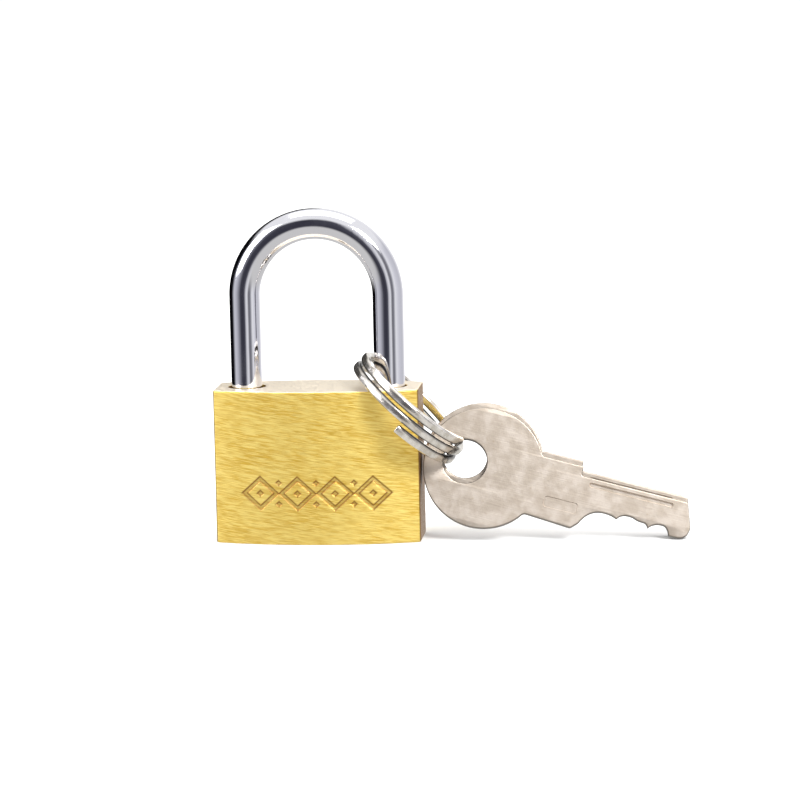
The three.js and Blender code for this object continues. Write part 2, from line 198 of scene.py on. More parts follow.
class Draft:
    """Collects a piece's surfaces in millimetres and makes one mesh of them.

    Every surface is either a grid of points with two parameters or a flat face bounded by loops.
    Surfaces that meet are given the same points along the shared edge, which are merged.
    """

    def __init__(self, axes: Axes = Axes()) -> None:
        """Starts an empty draft whose points are in the given axes."""
        self.axes = axes
        self.points: list[np.ndarray] = []
        self.marks: list[np.ndarray] = []
        self.faces: list[list[int]] = []
        self.count = 0

    def _store(self, points: np.ndarray, mark: np.ndarray | None = None) -> int:
        """Keeps points and their marks, and returns the first one's index."""
        first = self.count
        flat = points.reshape(-1, 3)
        self.points.append(self.axes.place(flat))
        self.marks.append(np.zeros(len(flat)) if mark is None else mark.reshape(-1))
        self.count += len(flat)
        return first

    def grid(self, points: np.ndarray, wrap: bool = False, mark: np.ndarray | None = None) -> None:
        """Adds quads between a rows x columns grid of points.

        Args:
            points: the grid, with shape (rows, columns, 3).
            wrap: whether the last column joins the first.
            mark: a value for each point, kept as a mesh attribute that carries the stamps' brown strokes and
                painted shade.
        """
        rows, columns = points.shape[:2]
        index = np.arange(rows * columns).reshape(rows, columns) + self._store(points, mark)
        if wrap:
            index = np.hstack([index, index[:, :1]])
        quads = np.stack([index[:-1, :-1], index[:-1, 1:], index[1:, 1:], index[1:, :-1]], -1)
        self.faces += quads.reshape(-1, 4).tolist()

    def flat(self, loops: Sequence[np.ndarray]) -> None:
        """Adds a flat face with an outer loop and any holes, cut into triangles."""
        triangles = tessellate_polygon([[Vector(p) for p in loop] for loop in loops])
        first = self._store(np.concatenate(loops))
        self.faces += (np.array(triangles) + first).tolist()

    def cap(self, loop: np.ndarray) -> None:
        """Adds one flat face that fills a convex loop."""
        first = self._store(loop)
        self.faces.append(list(range(first, first + len(loop))))

    def turned(self, profile: np.ndarray, centre: Sequence[float] = (0, 0), count: int = 64) -> None:
        """Turns a profile round an axis along Z and closes both its ends.

        Args:
            profile: rows of (height, radius).
            centre: the axis's place.
            count: points round the axis.
        """
        rings = self._rings(profile, centre, count)
        self.grid(rings, wrap=True)
        self.cap(rings[0])
        self.cap(rings[-1])

    def bore(self, profile: np.ndarray, centre: Sequence[float], count: int = 64) -> np.ndarray:
        """Adds a blind hole's wall and floor from (height, radius) rows, and returns its rim."""
        rings = self._rings(profile, centre, count)
        self.grid(rings, wrap=True)
        self.cap(rings[-1])
        return rings[0]

    def take(self, other: "Draft") -> None:
        """Adds another draft's surfaces, as they lie in the frame."""
        self.faces += [[index + self.count for index in face] for face in other.faces]
        self.points += other.points
        self.marks += other.marks
        self.count += other.count

    @staticmethod
    def _rings(profile: np.ndarray, centre: Sequence[float], count: int) -> np.ndarray:
        """Returns the (rows, count, 3) grid of a profile turned round Z."""
        around = circle(1, count)
        xy = profile[:, 1, None, None] * around[None] + np.asarray(centre)
        return np.concatenate([xy, np.broadcast_to(profile[:, 0, None, None], (*xy.shape[:2], 1))], 2)

    def build(self, name: str, sharp_degrees: float = 32) -> bpy.types.Object:
        """Makes the object: merged, facing outward, smooth except at real edges.

        Args:
            name: the object's name.
            sharp_degrees: an edge turning by more than this stays sharp.

        Returns:
            The new object, at the origin.
        """
        mesh = bpy.data.meshes.new(name)
        mesh.from_pydata((np.concatenate(self.points) * MM).tolist(), [], self.faces)
        attribute = mesh.attributes.new("stamp_and_painted_shade", "FLOAT", "POINT")
        attribute.data.foreach_set("value", np.concatenate(self.marks).astype(np.float32))
        work = bmesh.new()
        work.from_mesh(mesh)
        bmesh.ops.remove_doubles(work, verts=work.verts, dist=MERGE)
        bmesh.ops.recalc_face_normals(work, faces=work.faces)
        open_edges = sum(not edge.is_manifold for edge in work.edges)
        work.to_mesh(mesh)
        work.free()
        mesh.shade_smooth()
        mesh.set_sharp_from_angle(angle=math.radians(sharp_degrees))
        made = bpy.data.objects.new(name, mesh)
        bpy.context.scene.collection.objects.link(made)
        weighted = made.modifiers.new("even_normals", "WEIGHTED_NORMAL")
        weighted.keep_sharp = True
        log.info("%s: %d faces, %d open edges", name, len(mesh.polygons), open_edges)
        return made


def rod_profile(low: float, high: float, radius: float, edge: float) -> np.ndarray:
    """Returns the (height, radius) rows of a rod whose two rims are rounded by `edge`."""
    along, lost = edge * (1 - np.cos(RIM)), edge * (1 - np.sin(RIM))
    start = np.stack([low + along, radius - lost], 1)
    end = np.stack([high - along[::-1], radius - lost[::-1]], 1)
    return np.concatenate([start, end])


def bore_profile(mouth: float, floor: float, radius: float, edge: float) -> np.ndarray:
    """Returns the (height, radius) rows of a blind hole with a small countersink at its mouth."""
    inward = math.copysign(edge, floor - mouth)
    return np.array([[mouth, radius + edge], [mouth + inward, radius], [floor, radius]])


@dataclass(frozen=True)
class Pocket:
    """A shallow milled pocket in a flat face, with slightly sloping walls."""

    low: tuple[float, float]
    high: tuple[float, float]
    depth: float
    corner: float
    side: Side

    def loop(self, shrink: float = 0) -> np.ndarray:
        """Returns the pocket's outline, made smaller by `shrink`."""
        (x0, y0), (x1, y1) = self.low, self.high
        corners = np.array([[x0, y0], [x1, y0], [x1, y1], [x0, y1]])
        return inset(spread(rounded(corners, self.corner, 5), 0.6), shrink)


WALL_SHADE = 0.8  # painted shade on a plate's outer walls
HOLE_SHADE = 1.0  # and on the walls of its holes


def extrude(draft: Draft, outer: np.ndarray, holes: Sequence[np.ndarray], span: tuple[float, float],
            edge: float, pockets: Sequence[Pocket] = ()) -> None:
    """Adds a plate: an outline and its holes carried along Z, with every rim rounded.

    At a rim the outline is moved inward by edge x (1 - sin a) while it rises by
    edge x (1 - cos a), for a from 0 to a right angle; a hole's outline is moved outward.

    Args:
        draft: where the surfaces go.
        outer: the counterclockwise outline.
        holes: counterclockwise outlines of the holes.
        span: the plate's lowest and highest Z.
        edge: the rim's radius.
        pockets: shallow pockets in the two faces.
    """
    low, high = span
    shrink = edge * (1 - np.sin(RIM))
    rise = edge * (1 - np.cos(RIM))
    shrink, heights = np.append(shrink, shrink[::-1]), np.append(low + rise, high - rise[::-1])
    for loop, sign, shade in [(outer, 1, WALL_SHADE), *((hole, -1, HOLE_SHADE) for hole in holes)]:
        wall = np.stack([level(inset(loop, sign * s), z) for s, z in zip(shrink, heights)])
        # painted shade on the walls, darkest midway between the rims
        mark = np.broadcast_to(shade * (1 - shrink / edge)[:, None], wall.shape[:2])
        draft.grid(wall, wrap=True, mark=mark)
    for side, z in ((Side.REAR, low), (Side.FRONT, high)):
        cuts = [pocket for pocket in pockets if pocket.side is side]
        loops = [inset(outer, edge), *(inset(hole, -edge) for hole in holes), *(cut.loop() for cut in cuts)]
        draft.flat([level(loop, z) for loop in loops])
        for cut in cuts:
            floor = level(cut.loop(cut.depth / 3), z - side.value * cut.depth)
            draft.grid(np.stack([level(cut.loop(), z), floor]), wrap=True)
            draft.flat([floor])


# ---- Materials ------------------------------------------------------------------------------


def linear(colour: str) -> tuple[float, float, float, float]:
    """Turns an sRGB hex colour such as "#C8A040" into linear RGBA."""
    channels = [int(colour[i:i + 2], 16) / 255 for i in (1, 3, 5)]
    red, green, blue = (c / 12.92 if c <= 0.04045 else ((c + 0.055) / 1.055) ** 2.4 for c in channels)
    return red, green, blue, 1.0


def add_node(tree: bpy.types.NodeTree, kind: str, inputs: dict | None = None,
             stops: Sequence[tuple[float, Sequence[float]]] = (), **settings: object) -> bpy.types.Node:
    """Adds a node, with its settings, its inputs' values or links, and a ramp's stops.

    Args:
        tree: the node tree.
        kind: the node's type name.
        inputs: a value, or another node's output socket, for each named or numbered input.
        stops: (position, colour) pairs of a colour ramp.
        settings: properties of the node itself.

    Returns:
        The new node.
    """
    node = tree.nodes.new(kind)
    for name, value in settings.items():
        setattr(node, name, value)
    for key, value in (inputs or {}).items():
        if isinstance(value, bpy.types.NodeSocket):
            tree.links.new(value, node.inputs[key])
        else:
            node.inputs[key].default_value = value
    if stops:
        elements = node.color_ramp.elements
        for position, colour in stops[2:]:
            elements.new(position)
        for element, (position, colour) in zip(elements, sorted(stops, key=lambda stop: stop[0])):
            element.position, element.color = position, colour
    return node


def grain(tree: bpy.types.NodeTree, size: Sequence[float], turn: Sequence[float] = (0, 0, 0),
          detail: float = 3, distortion: float = 0) -> bpy.types.NodeSocket:
    """Adds a noise whose grains have the given size in millimetres along the piece's axes.

    Args:
        tree: the material's node tree.
        size: the grain's length along X, Y and Z.
        turn: how far the grain is turned about X, Y and Z, in degrees.
        detail: the noise's detail.
        distortion: the noise's distortion.

    Returns:
        The noise's value, from 0 to 1.
    """
    place = add_node(tree, "ShaderNodeTexCoord").outputs["Object"]
    turned = add_node(tree, "ShaderNodeMapping", {
        "Vector": place,
        "Rotation": [math.radians(a) for a in turn],
    }).outputs[0]
    scaled = add_node(tree, "ShaderNodeMapping", {
        "Vector": turned,
        "Scale": [1 / (length * MM) for length in size],
    }).outputs[0]
    noise = add_node(tree, "ShaderNodeTexNoise", {
        "Vector": scaled, "Scale": 1.0, "Detail": detail, "Distortion": distortion,
    })
    return noise.outputs[0]


def remap(tree: bpy.types.NodeTree, value: bpy.types.NodeSocket, source: tuple[float, float],
          target: tuple[float, float]) -> bpy.types.NodeSocket:
    """Maps a value from one range to another, clamped, with soft ends."""
    return add_node(tree, "ShaderNodeMapRange", {
        "Value": value, "From Min": source[0], "From Max": source[1],
        "To Min": target[0], "To Max": target[1],
    }, interpolation_type="SMOOTHSTEP").outputs[0]


def mix(tree: bpy.types.NodeTree, share: bpy.types.NodeSocket, first: object,
        second: object) -> bpy.types.NodeSocket:
    """Mixes two colours, or sockets that carry colours, by a share from 0 to 1."""
    return add_node(tree, "ShaderNodeMix", {0: share, 6: first, 7: second}, data_type="RGBA").outputs[2]


@dataclass(frozen=True)
class Finish:
    """A metal surface: subclasses say what its colour, gloss and relief look like."""

    name: str
    metallic: float = 1.0

    def colour(self, tree: bpy.types.NodeTree) -> object:
        """Returns the base colour, as a value or a socket."""
        raise NotImplementedError

    def roughness(self, tree: bpy.types.NodeTree) -> object:
        """Returns the roughness, as a value or a socket."""
        raise NotImplementedError

    def relief(self, tree: bpy.types.NodeTree) -> Sequence[tuple[bpy.types.NodeSocket, float]]:
        """Returns height patterns, each with its depth in millimetres."""
        return ()

    def material(self) -> bpy.types.Material:
        """Makes the material from the finish's colour, roughness and relief."""
        made = bpy.data.materials.new(self.name)
        made.use_nodes = True
        tree = made.node_tree
        tree.nodes.clear()
        inputs = {
            "Base Color": self.colour(tree),
            "Roughness": self.roughness(tree),
            "Metallic": self.metallic,
        }
        normal = None
        for height, depth in self.relief(tree):
            values = {"Height": height, "Distance": depth * MM, "Strength": 1.0}
            if normal is not None:
                values["Normal"] = normal
            normal = add_node(tree, "ShaderNodeBump", values).outputs[0]
        if normal is not None:
            inputs["Normal"] = normal
        shader = add_node(tree, "ShaderNodeBsdfPrincipled", inputs)
        add_node(tree, "ShaderNodeOutputMaterial", {"Surface": shader.outputs[0]})
        return made

    def dress(self, made: bpy.types.Object, slot: Slot) -> None:
        """Gives a piece this finish."""
        made.data.materials.clear()
        made.data.materials.append(bpy.data.materials.get(self.name) or self.material())


@dataclass(frozen=True)
class BrushedBrass(Finish):
    """Cast brass drawn over an abrasive belt: fine, slightly sloping streaks, yellow and satin."""

    light: str = "#FCE283"
    dark: str = "#DDB54B"
    pit: str = "#7C4B1E"
    # painted light: a paler tone on faces that point up or down
    cut: str = "#EFE3CF"
    # painted shade: a browner tone on the two ends
    end: str = "#8A6638"
    slope: float = -8
    streak: tuple[float, float, float] = (2.2, 2.2, 0.15)
    hair: tuple[float, float, float] = (1.2, 1.2, 0.06)
    cloud: tuple[float, float, float] = (4, 4, 2.5)
    bend: float = 0.35  # how far the streaks waver
    gloss: tuple[float, float] = (0.34, 0.52)
    depths: tuple[float, float] = (0.035, 0.018)  # of the streaks and the hairlines

    def colour(self, tree: bpy.types.NodeTree) -> object:
        """Streaks of two tones, browner stamped marks, painted shade on the ends and painted light on the top
        and base.
        """
        streaks = grain(tree, self.streak, (0, self.slope, 0), 4, self.bend)
        clouds = grain(tree, self.cloud)
        streaky = mix(tree, remap(tree, streaks, (0.38, 0.64), (0, 1)), linear(self.dark), linear(self.light))
        cloudy = mix(tree, remap(tree, clouds, (0.35, 0.7), (0, 0.45)), streaky, linear(self.light))
        mark = add_node(tree, "ShaderNodeAttribute", attribute_name="stamp_and_painted_shade").outputs["Fac"]
        stamped = mix(tree, mark, cloudy, linear(self.pit))
        facing = add_node(tree, "ShaderNodeTexCoord").outputs["Normal"]
        parts = add_node(tree, "ShaderNodeSeparateXYZ", {0: facing}).outputs
        sideways, upward = (
            add_node(tree, "ShaderNodeMath", {0: parts[i]}, operation="ABSOLUTE").outputs[0] for i in (0, 2)
        )
        # painted shade on the ends, the faces that point along X
        shaded_ends = mix(tree, remap(tree, sideways, (0.6, 0.9), (0, 1)), stamped, linear(self.end))
        # painted light on the faces that point up or down
        return mix(tree, remap(tree, upward, (0.6, 0.85), (0, 1)), shaded_ends, linear(self.cut))

    def roughness(self, tree: bpy.types.NodeTree) -> object:
        """The hairlines make the gloss uneven across the streaks."""
        return remap(tree, grain(tree, self.hair, (0, self.slope, 0), 3), (0.3, 0.7), self.gloss)

    def relief(self, tree: bpy.types.NodeTree) -> Sequence[tuple[bpy.types.NodeSocket, float]]:
        """Two sizes of scratch, both much longer than wide."""
        return (
            (grain(tree, self.streak, (0, self.slope, 0), 3, self.bend), self.depths[0]),
            (grain(tree, self.hair, (0, self.slope, 0), 2), self.depths[1]),
        )


@dataclass(frozen=True)
class Chrome(Finish):
    """Bright chromium plate: a near mirror with a faint blue tone and slight unevenness."""

    tint: str = "#E4E4EA"
    gloss: tuple[float, float] = (0.05, 0.13)
    handling: tuple[float, float, float] = (2.5, 2.5, 7)
    wave: tuple[float, float, float] = (1.2, 1.2, 9)
    wave_depth: float = 0.012

    def colour(self, tree: bpy.types.NodeTree) -> object:
        """One even, faintly blue white."""
        return linear(self.tint)

    def roughness(self, tree: bpy.types.NodeTree) -> object:
        """Mostly polished, with handling marks that are a little duller."""
        return remap(tree, grain(tree, self.handling, detail=4), (0.4, 0.75), self.gloss)

    def relief(self, tree: bpy.types.NodeTree) -> Sequence[tuple[bpy.types.NodeSocket, float]]:
        """A drawn wire's long, very shallow waves."""
        return ((grain(tree, self.wave, detail=2), self.wave_depth),)


@dataclass(frozen=True)
class SatinNickel(Finish):
    """Nickel plate over stamped brass: warm grey, cloudy, with fine scratches along the piece."""

    light: str = "#CBC0B4"
    dark: str = "#C2B5A6"
    worn: str = "#B09B80"
    # painted shade: a key's side walls, and the ring's wires where they face each other
    side: str = "#2A2622"
    gloss: tuple[float, float] = (0.36, 0.42)
    slope: float = -14.5
    scratch: tuple[float, float, float] = (3.5, 3.5, 0.16)
    cloud: tuple[float, float, float] = (1.6, 1.6, 1.6)
    fleck: tuple[float, float, float] = (0.5, 0.5, 0.5)
    depth: float = 0.012

    def colour(self, tree: bpy.types.NodeTree) -> object:
        """Soft clouds of two greys, small flecks where the plate is thin, and painted shade on side walls and
        between ring wires.
        """
        clouds = mix(tree, remap(tree, grain(tree, self.cloud), (0.35, 0.68), (0, 1)),
                     linear(self.dark), linear(self.light))
        flecked = mix(tree, remap(tree, grain(tree, self.fleck, detail=2), (0.64, 0.8), (0, 0.4)),
                      clouds, linear(self.worn))
        mark = add_node(tree, "ShaderNodeAttribute", attribute_name="stamp_and_painted_shade").outputs["Fac"]
        # painted shade mixed in where the mesh is marked
        return mix(tree, mark, flecked, linear(self.side))

    def roughness(self, tree: bpy.types.NodeTree) -> object:
        """Duller in the clouds than between them."""
        return remap(tree, grain(tree, self.cloud), (0.35, 0.7), self.gloss)

    def relief(self, tree: bpy.types.NodeTree) -> Sequence[tuple[bpy.types.NodeSocket, float]]:
        """Scratches along the piece and a slight orange peel."""
        return (
            (grain(tree, self.scratch, (0, self.slope, 0), 3), self.depth),
            (grain(tree, self.fleck, detail=2), self.depth),
        )


@dataclass(frozen=True)
class Turned(Finish):
    """Lathe-turned or drawn metal: small parts with fine rings round the turning axis."""

    tone: str = "#DDBB66"
    shade: str = "#B8923F"
    gloss: tuple[float, float] = (0.26, 0.42)
    line: tuple[float, float, float] = (0.18, 0.18, 0.18)
    patch: tuple[float, float, float] = (0.9, 0.9, 0.9)
    depth: float = 0.008

    def colour(self, tree: bpy.types.NodeTree) -> object:
        """Two close tones in small patches."""
        return mix(tree, remap(tree, grain(tree, self.patch), (0.35, 0.65), (0, 1)),
                   linear(self.shade), linear(self.tone))

    def roughness(self, tree: bpy.types.NodeTree) -> object:
        """Fine tool marks vary the gloss."""
        return remap(tree, grain(tree, self.line, detail=2), (0.3, 0.7), self.gloss)

    def relief(self, tree: bpy.types.NodeTree) -> Sequence[tuple[bpy.types.NodeSocket, float]]:
        """Tool marks too fine to model."""
        return ((grain(tree, self.line, detail=2), self.depth),)


BRASS = BrushedBrass("brushed_brass", metallic=0.8)
CHROME = Chrome("chromium_plate")
KEY_NICKEL = SatinNickel("satin_nickel", metallic=0.8)
RING_NICKEL = SatinNickel(
    "bright_nickel_wire", metallic=0.95, light="#F2EEE8", dark="#D3CCC2", gloss=(0.14, 0.26),
)
TURNED_BRASS = Turned("turned_brass")
STEEL = Turned("drawn_steel", tone="#B9B9BE", shade="#8D8D93")


class Part:
    """A piece that makes its own mesh, dresses it, and takes its CAD node's place on a body."""

    node: str
    body: str
    finish: Finish
    slot: Slot

    def build(self) -> bpy.types.Object:
        """Makes the piece's mesh."""
        raise NotImplementedError

    def add(self) -> None:
        """Builds the piece, dresses it, and puts it on its body in its CAD node's place."""
        made = self.build()
        self.finish.dress(made, self.slot)
        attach(made, self.body)
        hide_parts(self.node)


# ---- Body -----------------------------------------------------------------------------------


@dataclass
class LockBody(Part):
    """The solid brass body: a barrel-shaped plan with a stamped row of lozenges on the front."""

    node: str = "lock_body"
    body: str = "housing"
    finish: Finish = BRASS
    slot: Slot = Slot.BODY
    width: float = 30.0
    height: float = 22.5
    thickness: float = 12.8
    end_thickness: float = 8.2
    corner: float = 0.55
    edge: float = 0.25
    heel_x: float = 10.5
    toe_x: float = -10.5
    heel_bore: tuple[float, float] = (2.55, 18.0)  # radius and depth
    toe_bore: tuple[float, float] = (2.75, 7.3)
    plug_bore: tuple[float, float] = (3.88, 17.5)
    end_bores: tuple[tuple[float, float], ...] = (
        (-3.0, 2.13), (-11.1, 1.1), (-13.9, 1.1), (-16.7, 1.1), (-19.5, 1.1),
    )  # height and radius of the holes in the toe end
    end_bore_depth: float = 2.2
    countersink: float = 0.06
    end_countersink: float = 0.07
    cross_pins: tuple[tuple[float, float, float], ...] = ((12.9, -4.7, 0.8), (3.9, -7.2, 0.75))
    pin_pit: float = 0.34
    pin_zone: float = 1.3
    pin_grid: tuple[float, ...] = (0, 0.35, 0.7, 0.93)  # grid lines inside a pin's rim, as shares
    pin_wall: float = 0.02
    grid_gap: float = 0.1  # between the plain columns and a pin's own
    mark_margin: float = 0.6  # dense columns and rows past the stamped row
    mark_centre: tuple[float, float] = (0.1, -14.9)
    mark_half: tuple[float, float] = (2.35, 2.15)
    mark_middle: tuple[float, float] = (0.55, 0.5)
    mark_joint: tuple[float, float] = (0.5, 0.45)
    mark_joint_rise: float = 1.55
    mark_pitch: float = 5.5
    mark_count: int = 4
    mark_stroke: float = 0.62
    mark_depth: float = 0.14
    mark_soft: float = 0.14
    mark_rim: float = 0.1
    mark_dark: tuple[float, float] = (0.8, 0.3)  # how dark a stroke is at its rim and on its floor
    arc_radius: float = field(init=False)
    arc_centre: float = field(init=False)

    def __post_init__(self) -> None:
        """Works out the circle that bulges the front and back."""
        bulge = (self.thickness - self.end_thickness) / 2
        self.arc_radius = ((self.width / 2) ** 2 + bulge**2) / (2 * bulge)
        self.arc_centre = self.arc_radius - self.thickness / 2

    def _front_columns(self) -> np.ndarray:
        """Returns the front's column places on X, close together across the stamped row."""
        reach = self._arc_reach()
        band = self.mark_pitch * self.mark_count / 2 + self.mark_margin
        return np.concatenate([
            np.linspace(-reach, -band, 18, endpoint=False),
            np.linspace(-band, band, 216, endpoint=False),
            np.linspace(band, reach, 19),
        ])

    def _arc_reach(self) -> float:
        """Returns where on X the bulging arc ends and the corner begins."""
        return (self.width / 2 - self.corner) * self.arc_radius / (self.arc_radius - self.corner)

    def _around_pin(self, radius: float) -> np.ndarray:
        """Returns grid offsets from a cross pin's axis, with one ring exactly on its rim."""
        inner = np.array(self.pin_grid) * radius
        outer = np.linspace(radius, self.pin_zone, 6)
        positive = np.concatenate([inner, [radius - self.pin_wall], outer])
        return np.unique(np.concatenate([-positive, positive]))

    def _back_columns(self) -> np.ndarray:
        """Returns the back's column places on X, from right to left, dense at the cross pins."""
        reach = self._arc_reach()
        plain = np.linspace(-reach, reach, 72)
        for x, _, radius in self.cross_pins:
            offsets = self._around_pin(radius)
            clear = np.abs(plain - x) > self.pin_zone + self.grid_gap
            plain = plain[clear | (plain >= reach)]
            plain = np.union1d(plain, (x + offsets)[x + offsets < reach - self.pin_wall])
        return plain[::-1]

    def _rows(self) -> np.ndarray:
        """Returns the wall's row heights, dense across the stamped row and at the cross pins."""
        low, high = -self.height + self.edge, -self.edge
        plain = np.linspace(low, high, 44)
        centre, half = self.mark_centre[1], self.mark_half[1] + self.mark_margin
        dense = [np.linspace(centre - half, centre + half, 56)]
        dense += [z + self._around_pin(radius) for _, z, radius in self.cross_pins]
        for band in dense:
            plain = plain[(plain < band[0] - 0.08) | (plain > band[-1] + 0.08)]
        return np.unique(np.concatenate([plain, *dense]))

    def plan(self, shrink: float) -> tuple[np.ndarray, int, slice, slice]:
        """Returns the plan's outline, counterclockwise from the toe end's front corner.

        Every point moves straight inward as `shrink` grows, so outlines match point for point.

        Args:
            shrink: how far the outline lies inside the body's full size.

        Returns:
            The closed outline, where the toe end's flat starts in it, and the slices of the front
            and back arcs.
        """
        half, radius, small = self.width / 2 - shrink, self.arc_radius - shrink, self.corner - shrink
        corner_x = self.width / 2 - self.corner
        reach = math.asin(corner_x / (self.arc_radius - self.corner))
        corner_y = self.arc_centre - (self.arc_radius - self.corner) * math.cos(reach)
        front = np.arcsin(self._front_columns() / self.arc_radius)
        back = np.arcsin(self._back_columns() / self.arc_radius)
        flats = np.linspace(corner_y, -corner_y, 13)[:-1]
        turn = 7
        pieces = [
            arc((-corner_x, corner_y), small, math.pi, 3 * RIGHT_ANGLE - reach, turn)[:-1],
            np.stack([radius * np.sin(front), self.arc_centre - radius * np.cos(front)], 1)[:-1],
            arc((corner_x, corner_y), small, reach - RIGHT_ANGLE, 0, turn)[:-1],
            np.stack([np.full(12, half), flats], 1),
            arc((corner_x, -corner_y), small, 0, RIGHT_ANGLE - reach, turn)[:-1],
            np.stack([radius * np.sin(back), radius * np.cos(back) - self.arc_centre], 1)[:-1],
            arc((-corner_x, -corner_y), small, RIGHT_ANGLE + reach, math.pi, turn)[:-1],
            np.stack([np.full(12, -half), -flats], 1),
        ]
        starts = np.cumsum([0, *(len(piece) for piece in pieces)])
        return (np.concatenate(pieces), int(starts[7]), slice(starts[1], starts[2]),
                slice(starts[5], starts[6]))

    def _mark(self, x: np.ndarray, z: np.ndarray) -> np.ndarray:
        """Returns the distance from the stamped row's strokes, negative inside them.

        The row is lozenge outlines, each with a small solid lozenge inside and a pair between it
        and the next.
        """
        centre_x, centre_z = self.mark_centre
        across = (x - centre_x) / self.mark_pitch + self.mark_count / 2
        number = np.clip(np.floor(across), 0, self.mark_count - 1)
        place = (number + 0.5 - self.mark_count / 2) * self.mark_pitch
        dx, dz = np.abs(x - centre_x - place), np.abs(z - centre_z)
        outline = np.abs(diamond(dx, dz, self.mark_half)) - self.mark_stroke / 2
        middle = diamond(dx, dz, self.mark_middle)
        joint = diamond(np.abs(dx - self.mark_pitch / 2), np.abs(dz - self.mark_joint_rise), self.mark_joint)
        inner_joint = np.where(np.abs(x - centre_x) > self.mark_pitch * (self.mark_count / 2 - 0.5), 1, joint)
        return np.minimum(np.minimum(outline, middle), inner_joint)

    def _wall(self, draft: Draft) -> tuple[np.ndarray, int]:
        """Adds the wall from the toe end's front corner round to its back corner.

        Rows are heights and columns go round the plan. The front is pushed in by the stamped
        row's depth. Near a cross pin, square rings of the grid are turned into circles, so that
        one ring lies on the pin hole's rim, and what is inside it is pushed in.
        """
        outline, flat_start, front, back = self.plan(0)
        step = 0.1
        inner = self.plan(step)[0]
        rows = self._rows()
        wall = np.concatenate([
            np.broadcast_to(outline[None], (len(rows), *outline.shape)),
            np.broadcast_to(rows[:, None, None], (len(rows), len(outline), 1)),
        ], 2).copy()
        outward = np.column_stack([(outline - inner) / step, np.zeros(len(outline))])
        mark = np.zeros(wall.shape[:2])
        distance = self._mark(wall[:, front, 0], wall[:, front, 2])
        sunk = 1 - smoothstep(distance, -self.mark_soft, self.mark_soft / 2)
        wall[:, front] -= sunk[..., None] * self.mark_depth * outward[front]
        rim = np.exp(-((distance + self.mark_soft / 3) / self.mark_rim) ** 2)
        at_rim, at_floor = self.mark_dark
        mark[:, front] = np.clip(at_rim * rim + at_floor * sunk, 0, 1)
        for x, z, radius in self.cross_pins:
            self._pin_hole(wall, outward, back, (x, z, radius))
        draft.grid(wall[:, :flat_start + 1], mark=mark[:, :flat_start + 1])
        return wall, flat_start

    def _pin_hole(self, wall: np.ndarray, outward: np.ndarray, back: slice,
                  pin: tuple[float, float, float]) -> None:
        """Bends the wall's grid into a round pit at a cross pin."""
        x, z, radius = pin
        area = wall[:, back]
        dx, dz = area[..., 0] - x, area[..., 2] - z
        square = np.maximum(np.abs(dx), np.abs(dz))
        share = np.clip((square - radius) / (self.pin_zone - radius), 0, 1)
        scale = share + (1 - share) * square / np.maximum(np.hypot(dx, dz), 1e-9)
        new_x, new_z = x + dx * scale, z + dz * scale
        bent_y = np.sqrt(self.arc_radius**2 - new_x**2) - self.arc_centre
        near = square < self.pin_zone
        pit = np.where(near & (square < radius - 0.01), self.pin_pit, 0)
        bent = np.stack([new_x, bent_y, new_z], 2) - pit[..., None] * outward[back]
        wall[:, back] = np.where(near[..., None], bent, area)

    def build(self) -> bpy.types.Object:
        """Makes the body's mesh.

        The wall, two rounded rims and the top are closed by flat faces with the holes cut out,
        and each hole has its own wall and floor.

        Returns:
            The body's object.
        """
        draft = Draft()
        wall, flat_start = self._wall(draft)
        top_rows = [(self.edge * (1 - np.cos(a)), -self.edge * (1 - np.sin(a))) for a in RIM]
        top = np.stack([level(self.plan(shrink)[0], z) for shrink, z in top_rows])
        bottom = np.stack([level(self.plan(shrink)[0], -self.height - z) for shrink, z in top_rows])
        draft.grid(top, wrap=True)
        draft.grid(bottom, wrap=True)
        heel = draft.bore(self._drill(0, -1, self.heel_bore), (self.heel_x, 0), 80)
        toe = draft.bore(self._drill(0, -1, self.toe_bore), (self.toe_x, 0), 80)
        draft.flat([top[-1], heel, toe])
        plug = draft.bore(self._drill(-self.height, 1, self.plug_bore), (0, 0), 96)
        draft.flat([bottom[-1], plug])
        self._toe_end(draft, wall, flat_start)
        return draft.build("brass_body")

    def _drill(self, mouth: float, direction: int, bore: tuple[float, float]) -> np.ndarray:
        """Returns the profile of a hole of (radius, depth) drilled up or down from a face."""
        radius, depth = bore
        return bore_profile(mouth, mouth + direction * depth, radius, self.countersink)

    def _toe_end(self, draft: Draft, wall: np.ndarray, flat_start: int) -> None:
        """Adds the flat toe end, with the latch's and the four pin chambers' drillings."""
        end = Draft(Axes.along_x(0, 0, 0))
        mouth = -self.width / 2
        floor = mouth + self.end_bore_depth
        rims = [
            end.bore(bore_profile(mouth, floor, radius, self.end_countersink), (0, z), 48)
            for z, radius in self.end_bores
        ]
        draft.take(end)
        across = wall[0, flat_start:], wall[-1, flat_start:]
        loop = np.concatenate([
            wall[:, 0], across[1][::-1], wall[::-1, flat_start][1:], across[0][1:],
        ])
        draft.flat([loop, *(end.axes.place(rim) for rim in rims)])


# ---- Shackle --------------------------------------------------------------------------------


